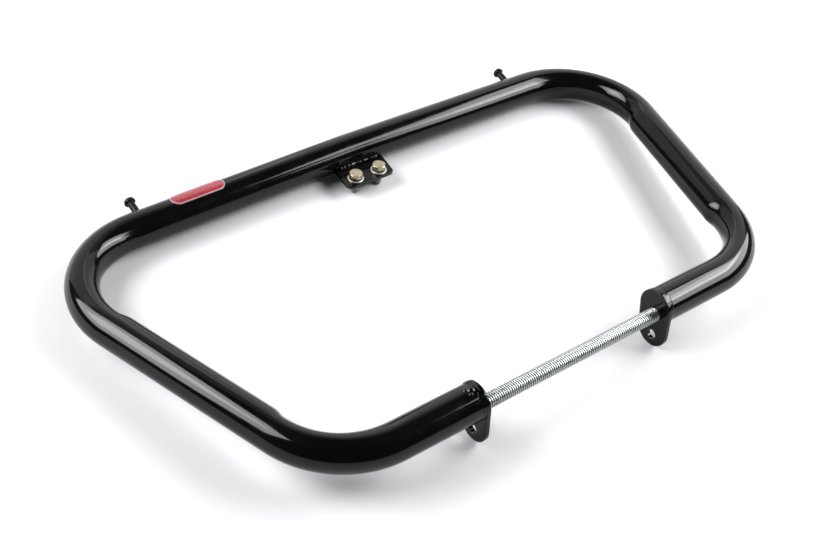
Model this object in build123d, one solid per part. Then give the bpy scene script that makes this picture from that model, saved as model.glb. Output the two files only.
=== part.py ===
from build123d import *
from math import acos, asin, atan2, cos, degrees, hypot, radians, sin, sqrt, tan
import os

# Motorcycle engine guard, in millimetres.
# It is drawn in the plane of its own loop: X across the motorcycle, Y from the legs back to the rail,
# Z square to the loop. At the end it is laid down as it comes to rest on a floor.

# Bent tube
tube_diameter = 31.75
tube_wall = 2.0
front_corner_span = 460.0
rail_corner_span = 651.0
loop_depth = 314.0
rail_bow = 5.5
bend_radius = 76.0
bow_radius = 800.0
press_depth = 3.0
press_run = 12.0

# End plates on the two legs
plate_gap = 195.0
plate_thickness = 4.0
plate_margin = 0.8
plate_edge_round = 0.4
tab_reach = 23.5
tab_radius = 15.5
tab_lean = 7.5
tab_hole_diameter = 9.0
tab_hole_offset = 4.5

# Threaded stud between the plates
stud_diameter = 12.7
stud_overrun = 11.0
stud_hole_clearance = 0.3
stud_bore_clearance = 0.3
stud_chamfer = 1.0

# Weld beads
end_weld_run = 3.0
bracket_weld_radius = 2.4
bracket_weld_inset = 4.0

# Bracket on the inside of the rail
bracket_width = 53.0
bracket_lean = 9.0
bracket_reach = 44.3
bracket_thickness = 3.0
bracket_drop = 5.5
bracket_corner_radius = 6.0
bracket_edge_chamfer = 0.5

# Bolts and washers on the bracket
bolt_diameter = 8.0
bolt_length = 16.0
bolt_head_flats = 12.0
bolt_head_height = 4.8
bolt_head_bevel = 30.0
bolt_end_chamfer = 0.8
bolt_spacing = 26.4
bolt_shift = 1.0
bolt_edge_distance = 9.3
bolt_turn_left = 20.0
bolt_turn_right = 50.0
washer_diameter = 15.5
washer_thickness = 1.6
washer_clearance = 0.2
thread_clearance = 0.1

# Screws in the back of the rail
screw_diameter = 6.0
screw_head_diameter = 9.0
screw_head_height = 4.0
screw_head_dome = 1.6
screw_socket_flats = 4.0
screw_socket_depth = 2.0
screw_stand_off = 14.3
screw_depth = 8.0
screw_to_bend = 12.8
screw_rise = 12.0

# Badge on the rail
badge_length = 53.5
badge_width = 14.5
badge_thickness = 0.8
badge_rim_width = 1.0
badge_rim_height = 0.3
badge_to_screw = 51.7
badge_tilt = 5.3

# Sizes that follow from the ones above
tube_radius = tube_diameter / 2
bore_radius = tube_radius - tube_wall
plate_top_radius = tube_radius + plate_margin
plate_outer_x = plate_gap / 2 + plate_thickness
stud_hole_radius = stud_diameter / 2 + stud_hole_clearance
stud_drop = bore_radius - stud_diameter / 2 - stud_bore_clearance
tab_hole_drop = tab_reach + tab_hole_offset
bolt_hole_radius = bolt_diameter / 2 + thread_clearance
bracket_top = -bracket_drop
bracket_bottom = bracket_top - bracket_thickness
bracket_front = rail_bow - bracket_reach
bolt_y = bracket_front + bolt_edge_distance
bolt_seat = bracket_top + washer_thickness
bolt_end = bolt_seat - bolt_length

leg_end_left = Vector(-plate_outer_x, -loop_depth)
front_corner_left = Vector(-front_corner_span / 2, -loop_depth)
rail_corner_left = Vector(-rail_corner_span / 2, 0)
rail_middle = Vector(0, rail_bow)
rail_corner_right = Vector(rail_corner_span / 2, 0)
front_corner_right = Vector(front_corner_span / 2, -loop_depth)
leg_end_right = Vector(plate_outer_x, -loop_depth)
loop_points = [
    leg_end_left,
    front_corner_left,
    rail_corner_left,
    rail_middle,
    rail_corner_right,
    front_corner_right,
    leg_end_right,
]
loop_radii = [bend_radius, bend_radius, bow_radius, bend_radius, bend_radius]
loop_presses = [press_depth, press_depth, 0.0, press_depth, press_depth]

# The tab leans forward from the leg's axis. The stud, the tab hole and the tab's round end lie on this line.
tab_line = Vector(-sin(radians(tab_lean)), -cos(radians(tab_lean)))


class Bend:
    """One rounded corner of the loop: where it starts and ends, its centre and how far it turns."""

    def __init__(self, before, corner, after, radius, press):
        to_before = (before - corner).normalized()
        to_after = (after - corner).normalized()
        self.turn = 180 - to_before.get_angle(to_after)
        tangent = radius * tan(radians(self.turn / 2))
        self.start = corner + to_before * tangent
        self.end = corner + to_after * tangent
        self.centre = corner + (to_before + to_after).normalized() * hypot(radius, tangent)
        self.heading_in = -to_before
        self.heading_out = to_after
        self.press = press
        self.run = press_run if press > 0 else 0.0


loop_bends = [
    Bend(loop_points[i], loop_points[i + 1], loop_points[i + 2], loop_radii[i], loop_presses[i])
    for i in range(len(loop_radii))
]


def pressed_face(radius, press, origin, heading, outward):
    """Tube section: half a circle outside the bend, half an ellipse where the die pressed the inside."""
    outer_half = CenterArc((0, 0), radius, -90, 180)
    inner_half = EllipticalCenterArc((0, 0), radius - press, radius, 90, arc_size=180)
    return Plane(origin=origin, x_dir=outward, z_dir=heading) * make_face([outer_half, inner_half])


def straight_run(radius, start, end):
    """Round length of the loop between two points."""
    heading = end - start
    return extrude(Plane(origin=start, z_dir=heading) * Circle(radius), heading.length)


def bend_pieces(radius, bend):
    """A bend with the short lengths on both sides where the round tube passes into the pressed section."""
    outward_in = (bend.start - bend.centre).normalized()
    outward_out = (bend.end - bend.centre).normalized()
    start_face = pressed_face(radius, bend.press, bend.start, bend.heading_in, outward_in)
    end_face = pressed_face(radius, bend.press, bend.end, bend.heading_out, outward_out)
    axis = Axis(bend.centre, (0, 0, -1))
    pieces = [revolve(start_face, axis, bend.turn)]
    if bend.run > 0:
        lead_in = bend.start - bend.heading_in * bend.run
        lead_out = bend.end + bend.heading_out * bend.run
        round_in = pressed_face(radius, 0, lead_in, bend.heading_in, outward_in)
        round_out = pressed_face(radius, 0, lead_out, bend.heading_out, outward_out)
        pieces.append(loft([round_in, start_face], ruled=True))
        pieces.append(loft([end_face, round_out], ruled=True))
    return pieces


def loop_solid(radius):
    """The whole loop as a solid rod of the given radius."""
    pieces = []
    here = loop_points[0]
    for bend in loop_bends:
        pieces.append(straight_run(radius, here, bend.start - bend.heading_in * bend.run))
        pieces.extend(bend_pieces(radius, bend))
        here = bend.end + bend.heading_out * bend.run
    pieces.append(straight_run(radius, here, loop_points[-1]))
    rod = pieces[0]
    for piece in pieces[1:]:
        rod = rod + piece
    return rod


def left_rail_plane(distance):
    """Plane on the left rail's axis at a distance from its rear bend: X along the rail, Y back, Z up."""
    bend = loop_bends[1]
    return Plane(origin=bend.end + bend.heading_out * distance, x_dir=bend.heading_out, z_dir=(0, 0, 1))


def left_screw_plane():
    """Plane on the rail's axis whose normal is the left screw's axis, pointing out of the rail's back."""
    rail = left_rail_plane(screw_to_bend)
    normal = rail.y_dir * cos(radians(screw_rise)) + rail.z_dir * sin(radians(screw_rise))
    return Plane(origin=rail.origin, x_dir=rail.x_dir, z_dir=normal)


def guard_tube(rod):
    """The bent tube, hollow from leg to leg, with a tapped hole for each rail screw."""
    tube = rod - loop_solid(bore_radius)
    reach = screw_stand_off + tube_radius
    hole_radius = screw_diameter / 2 + thread_clearance
    hole = left_screw_plane() * Cylinder(hole_radius, reach, align=(Align.CENTER, Align.CENTER, Align.MIN))
    return tube - hole - mirror(hole, Plane.YZ)


def egg_outline(top_radius, low_centre, low_radius):
    """Outline of two circles and the two straight lines that touch both."""
    length = low_centre.length
    spread = degrees(acos((top_radius - low_radius) / length))
    down = low_centre.normalized()
    left = down.rotate(Axis.Z, -spread)
    right = down.rotate(Axis.Z, spread)
    low_left = low_centre + left * low_radius
    low_right = low_centre + right * low_radius
    return [
        ThreePointArc(left * top_radius, down * -top_radius, right * top_radius),
        Line(right * top_radius, low_right),
        ThreePointArc(low_right, low_centre + down * low_radius, low_left),
        Line(low_left, left * top_radius),
    ]


def left_plate_plane(x):
    """Plane square to X on the left leg's axis: local X points back, local Y up."""
    return Plane(origin=(x, -loop_depth, 0), x_dir=(0, 1, 0), z_dir=(1, 0, 0))


def left_end_plate():
    """Egg-shaped plate with the stud hole, the tab hole and rounded edges."""
    outline = make_face(egg_outline(plate_top_radius, tab_line * tab_reach, tab_radius))
    plate = extrude(outline, plate_thickness)
    rims = plate.edges().group_by(Axis.Z)
    plate = fillet(rims[0] + rims[-1], plate_edge_round)
    stud_hole = Pos(tab_line * stud_drop) * Circle(stud_hole_radius)
    tab_hole = Pos(tab_line * tab_hole_drop) * Circle(tab_hole_diameter / 2)
    plate = plate - extrude(stud_hole + tab_hole, plate_thickness)
    return left_plate_plane(-plate_outer_x) * plate


def left_end_weld():
    """Weld bead round the leg, with a bulging face between the tube and the plate."""
    reach = plate_margin - plate_edge_round
    toe = (end_weld_run, tube_radius)
    root = (0, tube_radius)
    crest = (0, tube_radius + reach)
    bulge = (end_weld_run * sin(radians(45)), tube_radius + reach * sin(radians(45)))
    profile = make_face([Line(toe, root), Line(root, crest), ThreePointArc(crest, bulge, toe)])
    bead = revolve(profile, Axis.X, 360)
    return Pos(-plate_outer_x, -loop_depth, 0) * Rot(0, 180, 0) * bead


def threaded_stud():
    """Rod from plate to plate, with bevelled ends just inside the legs."""
    length = plate_gap + 2 * (plate_thickness + stud_overrun)
    rod = Cylinder(stud_diameter / 2, length)
    rod = chamfer(rod.edges().filter_by(GeomType.CIRCLE), stud_chamfer)
    seat = tab_line * stud_drop
    return Pos(0, seat.X - loop_depth, seat.Y) * Rot(0, 90, 0) * rod


def bolt_spots():
    """Places of the two bolts on the bracket, in plan."""
    return Pos(bolt_shift - bolt_spacing / 2, bolt_y), Pos(bolt_shift + bolt_spacing / 2, bolt_y)


def bracket_middle(y):
    """X of the middle of the bracket at a place along Y: its sides lean to the right towards the rail."""
    return (y - bracket_front) * tan(radians(bracket_lean))


def frame_bracket(rod):
    """Bracket plate: leaning sides, rounded front corners, cut to the rail and tapped for its bolts."""
    half = bracket_width / 2
    root_x = bracket_middle(rail_bow)
    outline = Polyline(
        (root_x - half, rail_bow),
        (-half, bracket_front),
        (half, bracket_front),
        (root_x + half, rail_bow),
        close=True,
    )
    face = make_face(outline)
    front = face.vertices().group_by(Axis.Y)[0]
    face = fillet(front, bracket_corner_radius)
    plate = extrude(face, bracket_thickness)
    rims = plate.edges().group_by(Axis.Z)
    plate = chamfer(rims[0] + rims[-1], bracket_edge_chamfer)
    plate = Pos(0, 0, bracket_bottom) * plate - rod
    for spot in bolt_spots():
        plate = plate - spot * Pos(0, 0, bracket_top) * Cylinder(bolt_hole_radius, 3 * bracket_thickness)
    return plate


def bracket_weld(rod, bracket, height):
    """Bead along the corner between the rail and one face of the bracket."""
    corner_y = rail_bow - sqrt(tube_radius**2 - height**2)
    length = bracket_width - 2 * bracket_weld_inset
    bead = Pos(bracket_middle(corner_y), corner_y, height) * Rot(0, 90, 0) * Cylinder(bracket_weld_radius, length)
    return bead - rod - bracket


def washer():
    """Flat washer, lying on the plane of its underside."""
    hole_radius = bolt_diameter / 2 + washer_clearance
    ring = Circle(washer_diameter / 2) - Circle(hole_radius)
    return extrude(ring, washer_thickness)


def hex_bolt(turn):
    """Hex bolt with its seat on the plane: bevelled head above, bevelled shank below."""
    corner_radius = bolt_head_flats / sqrt(3)
    crown_radius = bolt_head_flats / 2
    bevel = (corner_radius - crown_radius) * tan(radians(bolt_head_bevel))
    crown = Polyline(
        (0, 0),
        (corner_radius, 0),
        (corner_radius, bolt_head_height - bevel),
        (crown_radius, bolt_head_height),
        (0, bolt_head_height),
        close=True,
    )
    turned = revolve(Plane.XZ * make_face(crown), Axis.Z, 360)
    head = extrude(Rot(0, 0, turn) * RegularPolygon(corner_radius, 6), bolt_head_height) & turned
    shank = Cylinder(bolt_diameter / 2, bolt_length, align=(Align.CENTER, Align.CENTER, Align.MAX))
    shank = chamfer(shank.edges().group_by(Axis.Z)[0], bolt_end_chamfer)
    return head + shank


def left_rail_screw():
    """Round-headed screw with a hexagon socket, standing out of the rail's back."""
    seat = tube_radius + screw_stand_off
    shank_length = screw_stand_off + tube_wall + screw_depth
    below = (Align.CENTER, Align.CENTER, Align.MAX)
    shank = Pos(0, 0, seat) * Cylinder(screw_diameter / 2, shank_length, align=below)
    head = Cylinder(screw_head_diameter / 2, screw_head_height, align=(Align.CENTER, Align.CENTER, Align.MIN))
    head = fillet(head.edges().group_by(Axis.Z)[-1], screw_head_dome)
    socket = RegularPolygon(screw_socket_flats / sqrt(3), 6)
    floor = screw_head_height - screw_socket_depth
    head = head - Pos(0, 0, floor) * extrude(socket, screw_socket_depth)
    return left_screw_plane() * (shank + Pos(0, 0, seat) * head)


def badge():
    """Pill-shaped badge bent over the top of the left rail, with a raised rim."""
    rail = left_rail_plane(screw_to_bend + badge_to_screw)
    round_the_rail = rail * Rot(-badge_tilt, 0, 0)
    field_radius = tube_radius + badge_thickness
    rim_radius = field_radius + badge_rim_height
    pill = SlotOverall(badge_length, badge_width)
    inner_pill = SlotOverall(badge_length - 2 * badge_rim_width, badge_width - 2 * badge_rim_width)
    field_skin = Rot(0, 90, 0) * (Cylinder(field_radius, badge_length) - Cylinder(tube_radius, badge_length))
    rim_skin = Rot(0, 90, 0) * (Cylinder(rim_radius, badge_length) - Cylinder(tube_radius, badge_length))
    field = field_skin & extrude(pill, 2 * tube_radius)
    rim = rim_skin & extrude(pill - inner_pill, 2 * tube_radius)
    return round_the_rail * (field + rim)


def build_pieces():
    """Every piece of the guard by name, in the plane of the loop."""
    rod = loop_solid(tube_radius)
    plate = left_end_plate()
    end_weld = left_end_weld()
    bracket = frame_bracket(rod)
    screw = left_rail_screw()
    spot_left, spot_right = bolt_spots()
    return {
        "guard_tube": guard_tube(rod),
        "end_plate_left": plate,
        "end_plate_right": mirror(plate, Plane.YZ),
        "end_weld_left": end_weld,
        "end_weld_right": mirror(end_weld, Plane.YZ),
        "threaded_stud": threaded_stud(),
        "frame_bracket": bracket,
        "bracket_weld_upper": bracket_weld(rod, bracket, bracket_top),
        "bracket_weld_lower": bracket_weld(rod, bracket, bracket_bottom),
        "bracket_washer_left": spot_left * Pos(0, 0, bracket_top) * washer(),
        "bracket_washer_right": spot_right * Pos(0, 0, bracket_top) * washer(),
        "bracket_bolt_left": spot_left * Pos(0, 0, bolt_seat) * hex_bolt(bolt_turn_left),
        "bracket_bolt_right": spot_right * Pos(0, 0, bolt_seat) * hex_bolt(bolt_turn_right),
        "rail_screw_left": screw,
        "rail_screw_right": mirror(screw, Plane.YZ),
        "badge": badge(),
    }


def rest_turn():
    """Turn about X that lays the guard on its two tabs and on the back edges of its two bolt ends."""
    heel_y = bolt_y + bolt_diameter / 2 - bolt_end_chamfer
    tab_centre = tab_line * tab_reach
    ahead = heel_y - (tab_centre.X - loop_depth)
    drop = bolt_end - tab_centre.Y
    slope = atan2(drop, ahead) + asin(tab_radius / hypot(ahead, drop))
    return Rot(-degrees(slope), 0, 0)


def laid_down(pieces):
    """The pieces on the floor at Z 0, with the middle of their box over the origin."""
    turn = rest_turn()
    boxes = [(turn * piece).bounding_box() for piece in pieces.values()]
    low_y = min(box.min.Y for box in boxes)
    high_y = max(box.max.Y for box in boxes)
    low_z = min(box.min.Z for box in boxes)
    place = Pos(0, -(low_y + high_y) / 2, -low_z) * turn
    return place, {name: place * piece for name, piece in pieces.items()}


place, pieces = laid_down(build_pieces())
os.makedirs("parts", exist_ok=True)
for name, piece in pieces.items():
    export_step(piece, f"parts/{name}.step")

# Places of the fixing points, for whoever fits the guard
tab_hole = tab_line * tab_hole_drop
stud_seat = tab_line * stud_drop
fixing_points = {
    "tab_hole_left": Vector(-plate_gap / 2 - plate_thickness / 2, tab_hole.X - loop_depth, tab_hole.Y),
    "tab_hole_right": Vector(plate_gap / 2 + plate_thickness / 2, tab_hole.X - loop_depth, tab_hole.Y),
    "stud_middle": Vector(0, stud_seat.X - loop_depth, stud_seat.Y),
    "bracket_face": Vector(bolt_shift, bolt_y, bracket_top),
    "loop_origin": Vector(0, 0, 0),
}
for name, point in fixing_points.items():
    spot = (place * Pos(point)).position
    print(f"{name}: {spot.X:.3f} {spot.Y:.3f} {spot.Z:.3f}")
print(f"turn about X: {place.orientation.X:.4f} degrees")
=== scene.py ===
"""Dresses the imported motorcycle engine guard: enamelled bent tube, end plates, stud, bracket and badge."""

import logging
import math
from collections.abc import Callable, Iterable, Sequence
from dataclasses import dataclass, replace
from enum import Enum
from functools import cache

import bmesh
import bpy
import numpy as np
from mathutils import Matrix


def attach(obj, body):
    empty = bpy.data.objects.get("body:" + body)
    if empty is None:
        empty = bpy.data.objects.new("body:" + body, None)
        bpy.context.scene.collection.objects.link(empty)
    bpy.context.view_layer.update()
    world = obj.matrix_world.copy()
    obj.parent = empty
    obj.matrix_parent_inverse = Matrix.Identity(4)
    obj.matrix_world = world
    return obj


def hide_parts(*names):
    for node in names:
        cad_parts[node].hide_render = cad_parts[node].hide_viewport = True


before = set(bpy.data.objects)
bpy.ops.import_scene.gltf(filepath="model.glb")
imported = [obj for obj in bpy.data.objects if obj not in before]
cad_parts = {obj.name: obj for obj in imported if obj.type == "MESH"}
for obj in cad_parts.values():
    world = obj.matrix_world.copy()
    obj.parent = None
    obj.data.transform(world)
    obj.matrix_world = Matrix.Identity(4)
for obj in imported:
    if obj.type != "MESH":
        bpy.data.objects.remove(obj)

log = logging.getLogger("engine_guard")
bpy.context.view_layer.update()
MM = 0.001
Array = np.ndarray
Number = Array | float
Triple = tuple[float, float, float]
Colour = Triple
Span = tuple[float, float]
Material = bpy.types.Material
Socket = bpy.types.NodeSocket
Value = Socket | float | tuple[float, ...]


class Side(Enum):
    """Which half of the guard a piece belongs to, as the sign of X."""

    LEFT = -1.0
    RIGHT = 1.0

    @property
    def word(self) -> str:
        """The side's name as the piece names use it."""
        return self.name.lower()


class BracketFace(Enum):
    """The face of the bracket that a root weld lies on."""

    UPPER = "upper"
    LOWER = "lower"


# Finishes

WHOLE: Span = (0.0, 1.0)
# The range that most of a noise's values lie in
NOISE_RANGE: Span = (0.3, 0.7)
# Cells of dust in a metre, share of a cell that a speck covers, and share of a speck that is solid
DUST_CELLS, DUST_SIZE, DUST_HEART = 230.0, 0.05, 0.6


@dataclass(frozen=True)
class Grain:
    """Fractal noise: cells per metre, octaves and, where it runs one way, its scale along each axis."""

    scale: float
    detail: float
    stretch: Triple = (1.0, 1.0, 1.0)


class NodeSheet:
    """A material's node tree, with short calls for the nodes that the finishes share."""

    def __init__(self, name: str) -> None:
        """Starts a tree with a Principled shader and an output.

        Args:
            name: The material's name.
        """
        self.material = bpy.data.materials.new(name)
        self.material.use_nodes = True
        self.tree = self.material.node_tree
        self.tree.nodes.clear()
        self.shader = self.tree.nodes.new("ShaderNodeBsdfPrincipled")
        self.node("ShaderNodeOutputMaterial", {"Surface": self.shader.outputs["BSDF"]})
        self.place = self.node("ShaderNodeTexCoord", {}).outputs["Object"]

    def feed(self, node: bpy.types.Node, inputs: dict[str, Value]) -> bpy.types.Node:
        """Sets a node's inputs: a socket is linked, and anything else is a constant.

        Args:
            node: The node.
            inputs: The inputs' names and what goes into them.

        Returns:
            The same node.
        """
        for name, value in inputs.items():
            if isinstance(value, Socket):
                self.tree.links.new(value, node.inputs[name])
            else:
                node.inputs[name].default_value = value
        return node

    def node(self, kind: str, inputs: dict[str, Value]) -> bpy.types.Node:
        """Adds a node and sets its inputs."""
        return self.feed(self.tree.nodes.new(kind), inputs)

    def noise(self, grain: Grain) -> Socket:
        """Fractal noise over the piece's own coordinates.

        Args:
            grain: The noise's scale, octaves and stretch.

        Returns:
            The noise value, about 0.5 on average.
        """
        mapping = self.node("ShaderNodeMapping", {"Vector": self.place, "Scale": grain.stretch})
        inputs = {"Vector": mapping.outputs["Vector"], "Scale": grain.scale, "Detail": grain.detail}
        return self.node("ShaderNodeTexNoise", inputs).outputs["Fac"]

    def dust(self) -> Socket:
        """Scattered round specks: 1 inside each speck and 0 outside."""
        cell = self.node("ShaderNodeTexVoronoi", {"Vector": self.place, "Scale": DUST_CELLS})
        return self.span(cell.outputs["Distance"], (DUST_SIZE, DUST_SIZE * DUST_HEART), WHOLE)

    def mark(self, name: str) -> Socket:
        """A value that the piece carries at its points.

        Args:
            name: The attribute's name.

        Returns:
            The value.
        """
        node = self.node("ShaderNodeAttribute", {})
        node.attribute_name = name
        return node.outputs["Fac"]

    def span(self, value: Socket, source: Span, target: Span) -> Socket:
        """Maps a value from one range to another and holds it there.

        Args:
            value: The socket to read.
            source: The range it has.
            target: The range it gets.

        Returns:
            The mapped value.
        """
        ends = dict(zip(("From Min", "From Max", "To Min", "To Max"), (*source, *target)))
        node = self.node("ShaderNodeMapRange", {"Value": value, **ends})
        node.clamp = True
        return node.outputs["Result"]

    def blend(self, share: Socket, low: Colour | Socket, high: Colour) -> Socket:
        """Mixes two colours.

        Args:
            share: 0 for the first colour and 1 for the second.
            low: The first colour, or a socket that carries it.
            high: The second colour.

        Returns:
            The mixed colour.
        """
        node = self.tree.nodes.new("ShaderNodeMix")
        node.data_type = "RGBA"
        first = low if isinstance(low, Socket) else (*low, 1.0)
        return self.feed(node, {"Factor": share, "A": first, "B": (*high, 1.0)}).outputs["Result"]

    def bump(self, height: Socket, depth: float) -> Socket:
        """Relief from a height of 0 to 1, with its depth in metres."""
        inputs = {"Height": height, "Strength": 1.0, "Distance": depth}
        return self.node("ShaderNodeBump", inputs).outputs["Normal"]


@dataclass(frozen=True)
class Finish:
    """A finish: soft patches of two colours, an uneven shine and a fine relief.

    Specks of dust lie on some finishes, and painted shade darkens the grooves and crevices of others.
    """

    name: str
    body: Colour
    patch: Colour
    cloud: Grain
    cloud_range: Span
    constants: tuple[tuple[str, float], ...]
    haze: Grain | None = None
    shine: Span = WHOLE
    relief: Grain | None = None
    depth: float = 0.0
    dust: Colour | None = None
    painted_shade: Colour | None = None

    def material(self) -> Material:
        """Makes the finish's material.

        Returns:
            The material.
        """
        sheet = NodeSheet(self.name)
        share = sheet.span(sheet.noise(self.cloud), self.cloud_range, WHOLE)
        paint = sheet.blend(share, self.body, self.patch)
        if self.dust is not None:
            paint = sheet.blend(sheet.dust(), paint, self.dust)
        # Painted shade: the colour darkens where the groove mark is high, in thread roots, under bolt heads
        # and round washer holes
        if self.painted_shade is not None:
            paint = sheet.blend(sheet.mark("groove"), paint, self.painted_shade)
        inputs = {"Base Color": paint, **dict(self.constants)}
        if self.haze is not None:
            inputs["Roughness"] = sheet.span(sheet.noise(self.haze), NOISE_RANGE, self.shine)
        if self.relief is not None:
            inputs["Normal"] = sheet.bump(sheet.noise(self.relief), self.depth)
        sheet.feed(sheet.shader, inputs)
        return sheet.material


# Near black and mirror-like, with a faint orange peel and a little dust
ENAMEL = Finish(
    name="gloss_black_enamel",
    body=(0.0006, 0.0006, 0.0007),
    patch=(0.0014, 0.0014, 0.0016),
    cloud=Grain(28.0, 4.0),
    cloud_range=(0.35, 0.65),
    constants=(("IOR", 1.33), ("Metallic", 0.0)),
    haze=Grain(75.0, 5.0),
    shine=(0.07, 0.13),
    relief=Grain(260.0, 1.5),
    depth=0.000012,
    dust=(0.012, 0.012, 0.013),
)
BRACKET_ENAMEL = replace(
    ENAMEL, name="bracket_black_enamel", shine=(0.12, 0.22), constants=(("IOR", 1.225), ("Metallic", 0.0))
)
# Plating with a faint mottle and fine scratches, and painted shade in its grooves
BRIGHT_ZINC = Finish(
    name="bright_zinc",
    body=(0.46, 0.485, 0.48),
    patch=(0.40, 0.425, 0.42),
    cloud=Grain(190.0, 5.0),
    cloud_range=(0.35, 0.68),
    constants=(("Metallic", 1.0),),
    haze=Grain(420.0, 4.0),
    shine=(0.31, 0.37),
    relief=Grain(900.0, 2.0, (0.15, 1.0, 1.0)),
    depth=0.000001,
    # Colour of the painted shade in thread roots
    painted_shade=(0.15, 0.16, 0.157),
)
DULL_ZINC = replace(
    BRIGHT_ZINC,
    name="dull_zinc",
    body=(0.30, 0.31, 0.30),
    patch=(0.23, 0.24, 0.235),
    shine=(0.34, 0.44),
    depth=0.000003,
    # Colour of the painted shade in the bolt thread's roots
    painted_shade=(0.05, 0.05, 0.05),
)
YELLOW_ZINC = replace(
    BRIGHT_ZINC,
    name="yellow_zinc",
    body=(0.40, 0.365, 0.255),
    patch=(0.31, 0.28, 0.19),
    shine=(0.26, 0.36),
    depth=0.000004,
    # Colour of the painted shade under and round the bolt head
    painted_shade=(0.03, 0.024, 0.014),
)
PALE_YELLOW_ZINC = replace(
    BRIGHT_ZINC,
    name="pale_yellow_zinc",
    body=(0.62, 0.60, 0.52),
    patch=(0.54, 0.52, 0.44),
    shine=(0.34, 0.44),
    depth=0.000004,
    # Colour of the painted shade under the head and in the washer's hole
    painted_shade=(0.06, 0.053, 0.042),
)
# Satin charcoal, worn a little lighter in patches
BLACK_OXIDE = Finish(
    name="satin_black_oxide",
    body=(0.005, 0.005, 0.0055),
    patch=(0.014, 0.014, 0.015),
    cloud=Grain(600.0, 4.0),
    cloud_range=(0.45, 0.7),
    constants=(("IOR", 1.2), ("Metallic", 0.0)),
    haze=Grain(800.0, 3.0),
    shine=(0.22, 0.34),
    relief=Grain(2500.0, 2.0),
    depth=0.000006,
)
# Pigment with a soft mottle under a clear coat
BADGE_RED = Finish(
    name="badge_red",
    body=(0.190, 0.009, 0.0175),
    patch=(0.152, 0.006, 0.0125),
    cloud=Grain(160.0, 4.0),
    cloud_range=(0.35, 0.7),
    constants=(("IOR", 1.48), ("Metallic", 0.0), ("Coat Weight", 0.5), ("Coat Roughness", 0.12)),
    haze=Grain(500.0, 3.0),
    shine=(0.24, 0.36),
    relief=Grain(1500.0, 2.0),
    depth=0.000008,
)
BADGE_RIM = replace(BADGE_RED, name="badge_rim", body=(0.28, 0.19, 0.20), patch=(0.24, 0.155, 0.16))
# Matt and pale, with a faint fibre
PAPER = Finish(
    name="studio_paper",
    body=(0.512, 0.507, 0.518),
    patch=(0.507, 0.502, 0.513),
    cloud=Grain(35.0, 5.0),
    cloud_range=NOISE_RANGE,
    constants=(("Roughness", 0.9), ("Specular IOR Level", 0.15)),
)


@cache
def dressed_in(finish: Finish) -> Material:
    """Gives a finish's material, made once."""
    return finish.material()


# Frames and meshes

# In metres: points nearer than this are one point, and edges shorter than this are none
SAME_POINT = 2e-6
NO_EDGE = 1e-7


@dataclass(frozen=True)
class RestFrame:
    """Carries millimetres in the loop's own plane to metres on the floor: a turn about X, then a shift."""

    turn_deg: float = -3.7253
    shift: Triple = (0.0, 148.623, 18.149)

    @property
    def turn(self) -> Array:
        """The turn about X as a matrix."""
        c, s = math.cos(math.radians(self.turn_deg)), math.sin(math.radians(self.turn_deg))
        return np.array([[1.0, 0.0, 0.0], [0.0, c, -s], [0.0, s, c]])

    def points(self, loop_mm: Array) -> Array:
        """Places points of the loop's plane: the turn, the shift, then millimetres to metres."""
        return (loop_mm @ self.turn.T + np.array(self.shift)) * MM


REST = RestFrame()


def cells(index: Array) -> Array:
    """Quads of a grid of point numbers, one for each cell."""
    corners = [index[:-1, :-1], index[:-1, 1:], index[1:, 1:], index[1:, :-1]]
    return np.stack(corners, -1).reshape(-1, 4)


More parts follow.
